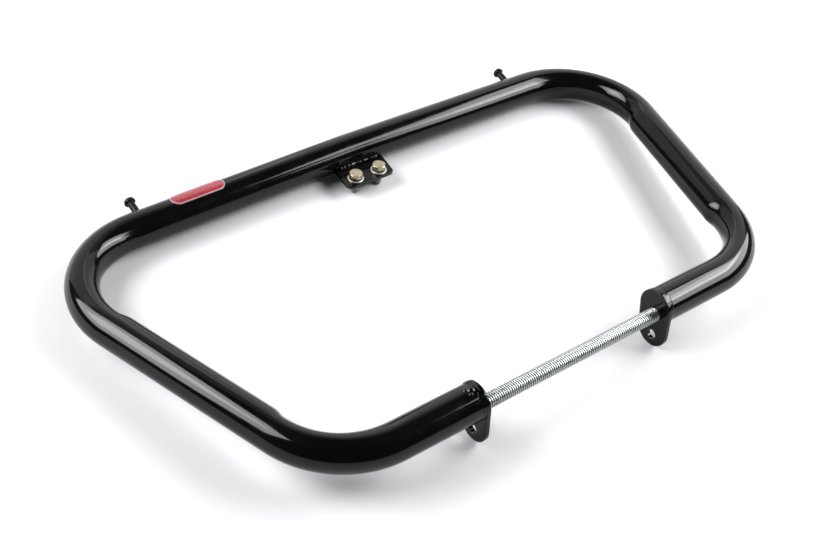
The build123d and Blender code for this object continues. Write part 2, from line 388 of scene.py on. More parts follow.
class SurfaceMesh:
    """Surfaces in the loop's plane, gathered and joined into one closed mesh."""

    def __init__(self) -> None:
        """Starts with no surface."""
        self.points: list[Array] = []
        self.quads: list[Array] = []
        self.slots: list[Array] = []
        self.grooves: list[Array] = []
        self.count = 0

    def rings(self, points: Array, wrap_rows: bool = False, slot: int = 0, groove: Number = 0.0) -> None:
        """Adds a grid whose rows are closed rings: each cell between two rings becomes a quad.

        Args:
            points: Rows by columns by XYZ, in millimetres.
            wrap_rows: Joins the last ring to the first.
            slot: The material slot.
            groove: How deep in a groove each point lies, from 0 to 1; the share of painted shade there.
        """
        rows, columns = points.shape[:2]
        index = np.arange(rows * columns).reshape(rows, columns) + self.count
        if wrap_rows:
            index = np.vstack([index, index[:1]])
        quads = cells(np.hstack([index, index[:, :1]]))
        self.points.append(points.reshape(-1, 3))
        self.grooves.append(np.broadcast_to(groove, (rows, columns)).reshape(-1))
        self.quads.append(quads)
        self.slots.append(np.full(len(quads), slot))
        self.count += rows * columns

    def disc(self, ring: Array, slot: int = 0) -> None:
        """Closes a ring with rings that shrink to its middle.

        Args:
            ring: Points of the ring.
            slot: The material slot.
        """
        middle = ring.mean(0)
        share = np.array([1.0, 0.5, 0.0])[:, None, None]
        self.rings(middle + (ring - middle) * share, slot=slot)

    def rod(self, points: Array, groove: Number = 0.0) -> None:
        """Adds rings and closes both ends.

        Args:
            points: Rows by columns by XYZ, in millimetres.
            groove: How deep in a groove each point lies, from 0 to 1; the share of painted shade there.
        """
        self.rings(points, groove=groove)
        self.disc(points[0])
        self.disc(points[-1])

    def made(self, name: str, finishes: Sequence[Finish], sharp_deg: float = 35.0) -> bpy.types.Object:
        """Joins the surfaces, turns their faces outwards and shades them.

        Args:
            name: The piece's name.
            finishes: One finish for each material slot.
            sharp_deg: Edges that turn more than this stay crisp.

        Returns:
            The finished object, at the origin, with its place in its mesh.
        """
        mesh = bpy.data.meshes.new(name)
        mesh.from_pydata(REST.points(np.vstack(self.points)).tolist(), [], np.vstack(self.quads).tolist())
        mesh.polygons.foreach_set("material_index", np.concatenate(self.slots).astype(np.int32))
        groove = mesh.attributes.new("groove", "FLOAT", "POINT")
        groove.data.foreach_set("value", np.concatenate(self.grooves).astype(np.float32))
        work = bmesh.new()
        work.from_mesh(mesh)
        bmesh.ops.remove_doubles(work, verts=work.verts, dist=SAME_POINT)
        bmesh.ops.dissolve_degenerate(work, edges=work.edges, dist=NO_EDGE)
        bmesh.ops.recalc_face_normals(work, faces=work.faces)
        work.to_mesh(mesh)
        work.free()
        mesh.shade_smooth()
        mesh.set_sharp_from_angle(angle=math.radians(sharp_deg))
        for finish in finishes:
            mesh.materials.append(dressed_in(finish))
        piece = bpy.data.objects.new(name, mesh)
        bpy.context.scene.collection.objects.link(piece)
        return piece


def stands_for(piece: bpy.types.Object, node: str) -> None:
    """Puts a finished piece in the place of a solid: hangs it on the root body and hides the solid.

    Args:
        piece: The finished piece.
        node: The solid that it stands for.
    """
    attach(piece, "root")
    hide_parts(node)
    log.info("%s stands for %s, %d faces", piece.name, node, len(piece.data.polygons))


# Curves and profiles

# Shares of half a pitch that a thread's flat crest and its flank take
THREAD_CREST = 0.36
THREAD_FLANK = 0.54
# A random sine starts somewhere in about one full turn
SINE_START: Span = (0.0, 6.28)


def unit(vector: Array) -> Array:
    """The direction of a vector: the vector over its length."""
    return vector / np.linalg.norm(vector)


def direction(angle: Number) -> Array:
    """Cosine and sine of each angle, as a pair."""
    return np.stack([np.cos(angle), np.sin(angle)], -1)


def arc(start_deg: float, end_deg: float, steps: int) -> Array:
    """Cosine and sine pairs along part of a circle."""
    return direction(np.radians(np.linspace(start_deg, end_deg, steps)))


def full_turn(steps: int) -> Array:
    """Angles of a full turn, without its end."""
    return np.linspace(0.0, 2.0 * np.pi, steps, endpoint=False)


def ring_at(angle: Array, radius: Number, height: Number) -> Array:
    """Points round the Z axis: the radius times the cosine and sine of the angle, at a height."""
    return np.stack([radius * np.cos(angle), radius * np.sin(angle), height + 0.0 * angle], -1)


def stacked_rings(angle: Array, rows: Iterable[tuple[Number, Number]]) -> Array:
    """Stacks rings round the Z axis, one for each pair of radius and height."""
    return np.stack([ring_at(angle, radius, height) for radius, height in rows])


def turned(profile: Array, around: int) -> Array:
    """Carries a profile of radius and height pairs round the Z axis, in a number of steps."""
    return ring_at(full_turn(around), profile[:, :1], profile[:, 1:])


def raised(flat: Array, height: Number) -> Array:
    """Gives the points of a plane a height as their third coordinate."""
    return np.dstack([flat, np.broadcast_to(height, flat.shape[:2])])


def row_at(x: Array, y: float) -> Array:
    """Points along X at one Y."""
    return np.stack([x, np.full_like(x, y)], -1)


def facing(points: Array, normal: Array) -> tuple[Array, Array]:
    """Pairs the points of a straight line with the direction that they share."""
    return points, np.tile(normal, (len(points), 1))


def smooth_step(value: Array) -> Array:
    """Rises from 0 to 1 as 3t squared less 2t cubed, and stays at 0 and 1 outside."""
    t = np.clip(value, 0.0, 1.0)
    return t * t * (3.0 - 2.0 * t)


def hexagon(flats: float, angle: Array) -> Array:
    """Distance from a hexagon's middle to its side: half its width over the cosine off a flat."""
    off_flat = (angle + np.pi / 6.0) % (np.pi / 3.0) - np.pi / 6.0
    return flats / 2.0 / np.cos(off_flat)


def thread_radius(height: Array, angle: Array, radius: float, pitch: float, depth: float) -> Array:
    """Screw thread: the outer radius less a flank wave of height over pitch less the share of a turn.

    Args:
        height: Distance along the axis.
        angle: Angle round it.
        radius: Crest radius.
        pitch: Advance in one turn.
        depth: Crest to root.

    Returns:
        The radius at each height and angle.
    """
    phase = (height / pitch - angle / (2.0 * np.pi)) % 1.0
    flank = 1.0 - np.abs(2.0 * phase - 1.0)
    return radius - depth * np.clip((flank - THREAD_CREST) / THREAD_FLANK, 0.0, 1.0)


def wandering(phase: Array, waves: Iterable[int], size: Span, seed: int) -> Array:
    """A weld bead's slow unevenness: a sum of sines, each with a random height and start.

    Args:
        phase: Where along the bead.
        waves: How often each sine repeats.
        size: The least and the greatest height of a sine.
        seed: Starts the random numbers.

    Returns:
        The unevenness, about 0 on average.
    """
    dice = np.random.default_rng(seed)
    return sum(dice.uniform(*size) * np.sin(k * phase + dice.uniform(*SINE_START)) for k in waves)


# The bent tube


class Bend:
    """An arc at a corner of the centre line, tangent to the runs before and after it."""

    def __init__(self, before: Array, corner: Array, after: Array, radius: float) -> None:
        """Finds the arc: its ends lie the radius times the tangent of half the turn from the corner.

        Args:
            before: The point that the first run comes from.
            corner: Where the runs would meet.
            after: The point that the second run goes to.
            radius: The arc's radius.
        """
        self.radius = radius
        self.back, self.ahead = unit(before - corner), unit(after - corner)
        self.turn = np.pi - np.arccos(self.back @ self.ahead)
        reach = radius * np.tan(self.turn / 2.0)
        self.start, self.end = corner + self.back * reach, corner + self.ahead * reach
        self.centre = corner + unit(self.back + self.ahead) * np.hypot(radius, reach)

    def sampled(self, step: float) -> tuple[Array, Array]:
        """Samples the arc: its centre plus the radius times the first arm, turned by each angle.

        Args:
            step: Distance between samples.

        Returns:
            Points and headings, without the arc's end.
        """
        arm = (self.start - self.centre) / self.radius
        steps = max(3, int(self.radius * self.turn / step))
        angle = np.linspace(0.0, self.turn, steps, endpoint=False)[:, None]
        points = self.centre + self.radius * (arm * np.cos(angle) - self.back * np.sin(angle))
        return points, -arm * np.sin(angle) - self.back * np.cos(angle)


@dataclass(frozen=True)
class LoopSizes:
    """Sizes that the pieces of the guard share, in millimetres and degrees."""

    tube_radius: float = 15.875
    loop_depth: float = 314.0
    front_corner_span: float = 460.0
    rail_corner_span: float = 651.0
    rail_bow: float = 5.5
    plate_gap: float = 195.0
    plate_thickness: float = 4.0
    bend_radius: float = 76.0
    bow_radius: float = 800.0
    tab_lean_deg: float = 7.5
    stud_drop: float = 7.225
    screw_to_bend: float = 12.8

    @property
    def leg_end(self) -> float:
        """How far from the middle each leg ends."""
        return self.plate_gap / 2.0 + self.plate_thickness

    @property
    def tab_line(self) -> Array:
        """Direction from a leg's axis to the tab of its plate, as back and up."""
        lean = math.radians(self.tab_lean_deg)
        return np.array([-math.sin(lean), -math.cos(lean)])

    @property
    def corners(self) -> Array:
        """The corners of the loop's centre line and its leg ends.

        Returns:
            Points from the left leg's end to the right leg's end.
        """
        front, rail = self.front_corner_span / 2.0, self.rail_corner_span / 2.0
        left = [(-self.leg_end, -self.loop_depth), (-front, -self.loop_depth), (-rail, 0.0)]
        right = [(-x, y) for x, y in reversed(left)]
        return np.array([*left, (0.0, self.rail_bow), *right])

    @property
    def bends(self) -> list[Bend]:
        """The bends from left to right: two corners, the rail's slight bow and two corners."""
        radii = [self.bend_radius] * 2 + [self.bow_radius] + [self.bend_radius] * 2
        return [Bend(*self.corners[k : k + 3], radius) for k, radius in enumerate(radii)]

    def rail_y(self, x: Number) -> Number:
        """Y of the rail's axis at X, on the straight halves: the bow falls off towards the corners."""
        return self.rail_bow * (1.0 - np.abs(x) / (self.rail_corner_span / 2.0))

    def rail_frame(self, from_bend: float, rise_deg: float) -> tuple[Array, Array]:
        """A place on the axis of the rail's left half, and the directions of a piece that stands there.

        Args:
            from_bend: Distance from the end of the left rail bend.
            rise_deg: How far the piece leans up from the rail's back.

        Returns:
            The place, and rows along the rail, across the piece and out of the rail.
        """
        bend = self.bends[1]
        foot = bend.end + bend.ahead * from_bend
        rise = math.radians(rise_deg)
        along = np.array([*bend.ahead, 0.0])
        back = np.array([-along[1], along[0], 0.0])
        out = back * math.cos(rise) + np.array([0.0, 0.0, math.sin(rise)])
        return np.array([*foot, 0.0]), np.stack([along, np.cross(out, along), out])


SIZES = LoopSizes()


@dataclass
class GuardTube:
    """The one tube of the guard: a section carried along straight runs and tangent arcs."""

    sizes: LoopSizes = SIZES
    wall: float = 2.0
    press_depth: float = 3.0
    press_run: float = 12.0
    press_fade: float = 70.0
    step: float = 2.4
    around: int = 72

    def straight(self, start: Array, end: Array, last: bool) -> tuple[Array, Array]:
        """Samples a straight run.

        Args:
            start: Where the run starts.
            end: Where it ends.
            last: Whether the end is sampled too.

        Returns:
            Points and headings.
        """
        steps = max(3, int(np.linalg.norm(end - start) / self.step))
        share = np.linspace(0.0, 1.0, steps, endpoint=last)[:, None]
        return facing(start + (end - start) * share, unit(end - start))

    def path(self) -> tuple[Array, Array, Array]:
        """Samples the centre line: a straight run up to each bend, the bend's arc, and a last run.

        Returns:
            Points, outward directions, and the share of the press at each point.
        """
        stretches, spans, length = [], [], 0.0
        here = self.sizes.corners[0]
        for bend in self.sizes.bends:
            stretches += [self.straight(here, bend.start, False), bend.sampled(self.step)]
            low = length + np.linalg.norm(bend.start - here)
            length = low + bend.radius * bend.turn
            if bend.radius == self.sizes.bend_radius:
                spans.append((low, length))
            here = bend.end
        stretches.append(self.straight(here, self.sizes.corners[-1], True))
        line, heading = (np.vstack(part) for part in zip(*stretches))
        along = np.r_[0.0, np.cumsum(np.linalg.norm(np.diff(line, axis=0), axis=1))]
        press = sum(self.press_share(along, *span, k % 2 == 1) for k, span in enumerate(spans))
        level = np.zeros(len(line))
        return np.c_[line, level], np.c_[-heading[:, 1], heading[:, 0], level], press

    def press_share(self, along: Array, low: float, high: float, side_first: bool) -> Array:
        """How far a bend's inside is pressed in at each place along the tube.

        It steps up just before the end of the bend that meets a side of the loop, and fades out slowly
        towards the bend's other end.

        Args:
            along: Distance along the tube.
            low: Where the bend starts.
            high: Where it ends.
            side_first: Whether the bend starts at a side of the loop.

        Returns:
            The share, from 0 to 1.
        """
        into, past = (along - low, high - along) if side_first else (high - along, along - low)
        return smooth_step(into / self.press_run + 1.0) * smooth_step(past / self.press_fade)

    def skin(self, radius: float) -> Array:
        """Carries the section along the path.

        The section is a circle whose inner half is an ellipse: on the inside of a bend, its reach towards
        the bend's centre is the radius less the press.

        Args:
            radius: The section's radius.

        Returns:
            A grid with one row for each path point.
        """
        line, outward, press = self.path()
        angle = full_turn(self.around)
        reach = np.where(np.cos(angle) >= 0.0, radius, radius - self.press_depth * press[:, None])
        across = (np.cos(angle) * reach)[..., None] * outward[:, None]
        up = (np.sin(angle) * radius)[None, :, None] * np.array([0.0, 0.0, 1.0])
        return line[:, None] + across + up

    def build(self) -> None:
        """Makes the tube: outside, bore and the two end rings."""
        outside = self.skin(self.sizes.tube_radius)
        bore = self.skin(self.sizes.tube_radius - self.wall)
        surface = SurfaceMesh()
        surface.rings(outside)
        surface.rings(bore)
        for end in (0, -1):
            surface.rings(np.stack([outside[end], bore[end]]))
        stands_for(surface.made("bent_tube", [ENAMEL], sharp_deg=50.0), "guard_tube")


# Drilled plates


@dataclass
class DrilledPlate:
    """A flat plate with a rounded rim and two drilled holes, one on each side of a dividing line.

    The outline runs anticlockwise. The first hole lies in the part from the first cut to the second.
    """

    outline: Array
    normals: Array
    cuts: tuple[int, int]
    holes: Sequence[tuple[Array, float]]
    thickness: float
    edge: float
    hole_bevel: float = 0.3
    rim_slot: int = 0

    def rim(self) -> Array:
        """Carries the rim's profile round the outline.

        The profile is a quarter circle, the plate's edge and another quarter circle: inset by the edge
        radius times one less the cosine, raised by its sine.

        Returns:
            A grid with one row for each profile point.
        """
        low, high = arc(-90.0, 0.0, 6), arc(0.0, 90.0, 6)
        inset = self.edge * (1.0 - np.r_[low[:, 0], high[:, 0]])
        height = self.edge * np.r_[1.0 + low[:, 1], high[:, 1] - 1.0]
        height[len(low) :] += self.thickness
        return raised(self.outline[None] - self.normals[None] * inset[:, None, None], height[:, None])

    def half(self, which: int) -> Array:
        """The loop round one hole: its part of the inset outline, closed along the dividing line.

        Args:
            which: 0 or 1, for the first or second hole.

        Returns:
            Points of the loop in the plate's plane.
        """
        inset = self.outline - self.normals * self.edge
        first, second = self.cuts
        order = np.arange(first, second + 1) if which == 0 else np.r_[second : len(inset), 0 : first + 1]
        part = inset[order]
        share = np.linspace(0.0, 1.0, 10)[1:-1, None]
        return np.vstack([part, part[-1] + (part[0] - part[-1]) * share])

    def surfaces(self, place: Callable[[Array], Array]) -> SurfaceMesh:
        """Makes the rim, both faces and the hole walls.

        A face is rings that pass from the hole to the loop round it: the hole's circle plus a share of
        the way to the loop. A hole's wall is its circle with a bevel at each end.

        Args:
            place: Carries the plate's own points into the loop's plane.

        Returns:
            The gathered surfaces.
        """
        surface = SurfaceMesh()
        surface.rings(place(self.rim()), slot=self.rim_slot)
        share = np.linspace(0.0, 1.0, 4)[:, None, None]
        for which, (centre, radius) in enumerate(self.holes):
            loop = self.half(which)
            ray = (loop - centre) / np.linalg.norm(loop - centre, axis=1)[:, None]
            lip = centre + ray * (radius + self.hole_bevel)
            face = lip + (loop - lip) * share
            for height in (0.0, self.thickness):
                surface.rings(place(raised(face, height)))
            widths = radius + self.hole_bevel * np.array([1.0, 0.0, 0.0, 1.0])
            heights = np.array([0.0, self.hole_bevel, self.thickness - self.hole_bevel, self.thickness])
            surface.rings(place(raised(centre + ray * widths[:, None, None], heights[:, None])))
        return surface


@dataclass
class EndPlate:
    """Egg-shaped plate on a leg's end: two circles and the lines that touch both."""

    side: Side
    sizes: LoopSizes = SIZES
    margin: float = 0.8
    edge_round: float = 0.4
    tab_reach: float = 23.5
    tab_radius: float = 15.5
    tab_hole_radius: float = 4.5
    tab_hole_drop: float = 28.0
    stud_hole_radius: float = 6.65
    divide: float = 18.5

    @property
    def top_radius(self) -> float:
        """Radius of the circle round the leg."""
        return self.sizes.tube_radius + self.margin

    @property
    def tab_middle(self) -> Array:
        """Middle of the tab's circle."""
        return self.sizes.tab_line * self.tab_reach

    def flank(self, way: float, share: Array) -> tuple[Array, Array]:
        """Samples one of the touching lines: its circle's middle and radius change evenly along it.

        Args:
            way: Angle of the line's normal.
            share: 0 at the tab's circle and 1 at the circle round the leg.

        Returns:
            Points and normals.
        """
        reach = self.tab_radius + (self.top_radius - self.tab_radius) * share
        points = self.tab_middle * (1.0 - share)[:, None] + direction(way) * reach[:, None]
        return facing(points, direction(way))

    def outline(self) -> tuple[Array, Array, int]:
        """Samples the egg from the dividing line on one side, over the top, and round the tab.

        Returns:
            Points, outward normals, and the index where the dividing line meets the other side.
        """
        spread = math.acos((self.top_radius - self.tab_radius) / self.tab_reach)
        back, up = self.sizes.tab_line
        aim = math.atan2(up, back)
        right, left = aim + spread, aim - spread
        over = direction(np.linspace(right, left + 2.0 * np.pi, 60))
        under = direction(np.linspace(left, right, 40))
        cut = 1.0 - (self.divide - self.top_radius * math.cos(spread)) / self.tab_reach
        stretches = [
            self.flank(right, np.linspace(cut, 1.0, 10, endpoint=False)),
            (over * self.top_radius, over),
            self.flank(left, np.linspace(1.0, cut, 11)[1:]),
            self.flank(left, np.linspace(cut, 0.0, 9)[1:-1]),
            (self.tab_middle + under * self.tab_radius, under),
            self.flank(right, np.linspace(0.0, cut, 8, endpoint=False)[1:]),
        ]
        points, normals = (np.vstack(part) for part in zip(*stretches))
        return points, normals, sum(len(part) for part, _ in stretches[:3]) - 1

    def place(self, uvw: Array) -> Array:
        """Stands the plate on its leg's end: its height points outwards along X."""
        x = self.side.value * (self.sizes.plate_gap / 2.0 + uvw[..., 2])
        return np.stack([x, uvw[..., 0] - self.sizes.loop_depth, uvw[..., 1]], -1)

    def build(self) -> None:
        """Makes the plate and dresses it."""
        points, normals, meets = self.outline()
        holes = [
            (self.sizes.tab_line * self.sizes.stud_drop, self.stud_hole_radius),
            (self.sizes.tab_line * self.tab_hole_drop, self.tab_hole_radius),
        ]
        plate = DrilledPlate(points, normals, (0, meets), holes, self.sizes.plate_thickness, self.edge_round)
        piece = plate.surfaces(self.place).made(f"plate_{self.side.word}", [ENAMEL])
        stands_for(piece, f"end_plate_{self.side.word}")


@dataclass(frozen=True)
class WeldDrop:
    """A drop of weld metal: its distance from the leg's end, its place round the leg and its size."""

    along: float
    place_deg: float
    half_length: float
    half_spread_deg: float
    rise: float


LEFT_DROPS = (
    WeldDrop(4.8, 91.0, 3.8, 13.0, 2.1),
    WeldDrop(8.6, 83.0, 2.6, 8.5, 1.5),
    WeldDrop(7.4, 103.0, 2.4, 7.5, 1.4),
)


@dataclass
class EndWeld:
    """Weld bead round a leg against its plate, laid in overlapping ripples."""

    side: Side
    drops: Sequence[WeldDrop] = ()
    sizes: LoopSizes = SIZES
    plate_leg: float = 0.5
    tube_leg: float = 3.0
    ripples: int = 38
    ripple_shift: float = 3.0
    ripple_swell: float = 0.10
    body_swell: float = 0.86
    waves: tuple[int, ...] = (2, 3, 5, 9, 14)
    wave_size: Span = (0.03, 0.09)
    sunk: float = 0.2
    drop_sunk: float = 0.3
    seed: int = 5
    around: int = 304

    def on_leg(self, along: Array, angle: Array, radius: Array) -> Array:
        """Points round the leg's axis, at a distance from the leg's end."""
        x = self.side.value * (self.sizes.leg_end + along)
        return np.stack([x, radius * np.cos(angle) - self.sizes.loop_depth, radius * np.sin(angle)], -1)

    def mound(self, drop: WeldDrop) -> Array:
        """Makes a drop where the bead was started: a mound over an ellipse on the leg, sunk at its edge.

        A point at a share of the way out stands one less the share squared times the rise above the leg.

        Args:
            drop: The drop's place and size.

        Returns:
            A grid from the drop's top outwards.
        """
        share = np.linspace(0.0, 1.0, 10)[:, None]
        turn = full_turn(36)
        along = drop.along + drop.half_length * share * np.cos(turn)
        angle = np.radians(drop.place_deg + drop.half_spread_deg * share * np.sin(turn))
        rise = drop.rise * (1.0 - share**2) - self.drop_sunk
        return self.on_leg(along, angle, self.sizes.tube_radius + rise)

    def build(self) -> None:
        """Makes the bead: a quarter ellipse between plate and tube, swollen by ripples round the leg."""
        angle = full_turn(self.around)
        wander = wandering(angle, self.waves, self.wave_size, self.seed + int(self.side.value))
        ripple = np.abs(np.sin(self.ripples / 2.0 * angle + wander * self.ripple_shift))
        swell = self.body_swell + self.ripple_swell * ripple + wander
        bend = arc(0.0, 90.0, 9)
        root = np.zeros_like(angle)
        radius = self.sizes.tube_radius + np.vstack([root - self.sunk, self.plate_leg * swell * bend[:, :1]])
        along = np.vstack([root, self.tube_leg * swell * bend[:, 1:]])
        surface = SurfaceMesh()
        surface.rings(self.on_leg(along, angle, radius), wrap_rows=True)
        for drop in self.drops:
            mound = self.mound(drop)
            surface.rings(mound)
            surface.disc(mound[-1])
        piece = surface.made(f"ring_weld_{self.side.word}", [ENAMEL], sharp_deg=60.0)
        stands_for(piece, f"end_weld_{self.side.word}")


@dataclass
class ThreadedStud:
    """Zinc threaded rod from plate to plate, with bevelled ends inside the legs."""

    sizes: LoopSizes = SIZES
    radius: float = 6.35
    pitch: float = 2.117
    depth: float = 1.1
    overrun: float = 11.0
    bevel: float = 1.2
    bevel_past_root: float = 0.1
    # How fast the painted shade in the thread roots grows with depth
    shade_reach: float = 1.6
    rows_in_pitch: float = 16.0
    around: int = 48

    def build(self) -> None:
        """Makes the rod: the thread's radius over height and angle, cut back by a cone at each end."""
        length = self.sizes.plate_gap + 2.0 * (self.sizes.plate_thickness + self.overrun)
        height = np.linspace(0.0, length, int(length / self.pitch * self.rows_in_pitch))[:, None]
        angle = full_turn(self.around)
        radius = thread_radius(height, angle, self.radius, self.pitch, self.depth)
        # Painted shade in the thread's roots, rising with depth
        groove = smooth_step((self.radius - radius) / self.depth * self.shade_reach)
        cut = self.depth + self.bevel_past_root
        cone = self.radius - cut + np.minimum(height, length - height) * cut / self.bevel
        radius = np.minimum(radius, cone)
        back, up = self.sizes.tab_line * self.sizes.stud_drop
        y = radius * np.cos(angle) + back - self.sizes.loop_depth
        x = np.broadcast_to(height - length / 2.0, y.shape)
        surface = SurfaceMesh()
        surface.rod(np.stack([x, y, radius * np.sin(angle) + up], -1), groove)
        stands_for(surface.made("stud_thread", [BRIGHT_ZINC], sharp_deg=50.0), "threaded_stud")


# The bracket


@dataclass
class FrameBracket:
    """Bracket plate on the inside of the rail: leaning sides, rounded front corners, two bolt holes."""

    sizes: LoopSizes = SIZES
    width: float = 53.0
    lean_deg: float = 9.0
    reach: float = 44.3
    thickness: float = 3.0
    drop: float = 5.5
    corner_radius: float = 6.0
    edge_round: float = 0.5
    hole_radius: float = 4.1
    bolt_spacing: float = 26.4
    bolt_shift: float = 1.0
    bolt_edge: float = 9.3

    @property
    def bottom(self) -> float:
        """Height of the underside."""
        return -self.drop - self.thickness

    @property
    def front(self) -> float:
        """Y of the front edge."""
        return self.sizes.rail_bow - self.reach

    def bolt_at(self, side: Side) -> Array:
        """X and Y of one bolt."""
        x = self.bolt_shift + side.value * self.bolt_spacing / 2.0
        return np.array([x, self.front + self.bolt_edge])

    def middle(self, y: float) -> float:
        """X of the bracket's middle at Y: the sides lean to the right towards the rail."""
        return (y - self.front) * math.tan(math.radians(self.lean_deg))

    def root(self, x: Number, z: Number) -> Number:
        """Y where the rail's surface lies at X and height Z: its axis less the half chord there."""
        return self.sizes.rail_y(x) - np.sqrt(self.sizes.tube_radius**2 - z * z)

    def outline(self) -> tuple[Array, Array, int]:
        """Samples the outline anticlockwise from the middle of the front edge.

        Returns:
            Points, outward normals, and the index of the middle of the back edge.
        """
        back = self.root(0.0, -self.drop)
        lean, half, bend = math.radians(self.lean_deg), self.width / 2.0, self.corner_radius
        skew = self.middle(back)
        ray = {Side.RIGHT: arc(-90.0, -self.lean_deg, 14), Side.LEFT: arc(180.0 - self.lean_deg, 270.0, 14)}
        centre_x = {
            side: side.value * (half - bend * math.tan(math.pi / 4.0 - side.value * lean / 2.0))
            for side in Side
        }
        corner = {
            side: np.array([centre_x[side], self.front + bend]) + ray[side] * bend
            for side in Side
        }
        share = np.linspace(0.0, 1.0, 10)[1:, None]
        right = corner[Side.RIGHT][-1] + (np.array([skew + half, back]) - corner[Side.RIGHT][-1]) * share
        left = corner[Side.LEFT][0] + (np.array([skew - half, back]) - corner[Side.LEFT][0]) * share[::-1]
        rear = np.linspace(skew + half, skew - half, 25)[1:-1]
        front = np.linspace(0.0, 1.0, 10, endpoint=False)
        ahead, out = np.array([0.0, -1.0]), np.array([math.cos(lean), -math.sin(lean)])
        stretches = [
            facing(row_at(front * centre_x[Side.RIGHT], self.front), ahead),
            (corner[Side.RIGHT], ray[Side.RIGHT]),
            facing(right, out),
            facing(row_at(rear, back), np.zeros(2)),
            facing(left, -out),
            (corner[Side.LEFT], ray[Side.LEFT]),
            facing(row_at((1.0 - front[1:]) * centre_x[Side.LEFT], self.front), ahead),
        ]
        points, normals = (np.vstack(part) for part in zip(*stretches))
        return points, normals, sum(len(part) for part, _ in stretches[:3]) + len(rear) // 2

    def place(self, uvw: Array) -> Array:
        """Lifts the plate to its height and fits its back edge to the rail.

        A point moves back by its share of the way from the front edge to the back edge times the
        difference between the rail's surface at its height and at the upper face.

        Args:
            uvw: Points of the plate, with their height over its underside.

        Returns:
            Points in the loop's plane.
        """
        x, y, z = uvw[..., 0], uvw[..., 1], self.bottom + uvw[..., 2]
        back = self.root(0.0, -self.drop)
        share = np.clip((y - self.front) / (back - self.front), 0.0, 1.0)
        return np.stack([x, y + share * (self.root(x, z) - back), z], -1)

    def build(self) -> None:
        """Makes the bracket plate and dresses it."""
        points, normals, middle = self.outline()
        holes = [(self.bolt_at(side), self.hole_radius) for side in (Side.RIGHT, Side.LEFT)]
        plate = DrilledPlate(
            points, normals, (0, middle), holes, self.thickness, self.edge_round, rim_slot=1
        )
        piece = plate.surfaces(self.place).made("bracket_plate", [BRACKET_ENAMEL, ENAMEL])
        stands_for(piece, "frame_bracket")


@dataclass
class RootWeld:
    """Weld bead between the rail and one face of the bracket, laid in overlapping ripples."""

    face: BracketFace
    seed: int
    bracket: FrameBracket
    radius: float = 2.4
    least_radius: float = 0.02
    inset: float = 4.0
    body_swell: float = 0.66
    ripple_swell: float = 0.30
    ripple_length: float = 4.6
    ripple_shift: float = 9.0
    waves: tuple[int, ...] = (4, 7, 11, 17)
    wave_size: Span = (0.05, 0.12)
    dip: float = 0.30
    dip_place: float = 0.36
    dip_width: float = 0.26
    taper_power: int = 12
    plate_lap_deg: float = 4.0
    tube_lap_deg: float = 8.0
    sunk: float = 0.3

    def reach(self, run: Array, half: float) -> Array:
        """The bead's radius along its run: ripples and a slow wander, less a bell-shaped dip, times a taper.

        Args:
            run: Distance from the bead's middle.
            half: Half the bead's length.

        Returns:
            The radius at each place.
        """
        share = run / half
        wander = wandering(share, self.waves, self.wave_size, self.seed)
        ripple = np.abs(np.sin(np.pi * run / self.ripple_length + wander * self.ripple_shift))
        dip = np.exp(-(((share - self.dip_place) / self.dip_width) ** 2))
        swell = self.body_swell + self.ripple_swell * ripple + wander - self.dip * dip
        taper = np.sqrt(np.clip(1.0 - np.abs(share) ** self.taper_power, 0.0, 1.0))
        return self.radius * swell * taper + self.least_radius

    def build(self) -> None:
        """Makes the bead: a fan of radii about the line where the face meets the rail."""
        upper = self.face is BracketFace.UPPER
        z = -self.bracket.drop if upper else self.bracket.bottom
        half = self.bracket.width / 2.0 - self.inset
        run = np.linspace(-half, half, 180)
        x = run + self.bracket.middle(self.bracket.root(0.0, z))
        tube_way = math.degrees(math.atan2(math.sqrt(self.bracket.sizes.tube_radius**2 - z * z), z))
        if upper:
            fan = arc(180.0 + self.plate_lap_deg, tube_way - self.tube_lap_deg, 15)
        else:
            fan = arc(180.0 - self.plate_lap_deg, tube_way + 180.0 + self.tube_lap_deg, 15)
        spokes = self.reach(run, half)[:, None, None] * np.vstack([np.zeros(2), fan])
        y = self.bracket.root(x, z)[:, None] + spokes[..., 0]
        height = z + spokes[..., 1]
        y[:, 0] += self.sunk
        height[:, 0] += -self.sunk if upper else self.sunk
        surface = SurfaceMesh()
        surface.rod(np.stack([np.broadcast_to(x[:, None], y.shape), y, height], -1))
        piece = surface.made(f"root_weld_{self.face.value}", [ENAMEL], sharp_deg=60.0)
        stands_for(piece, f"bracket_weld_{self.face.value}")


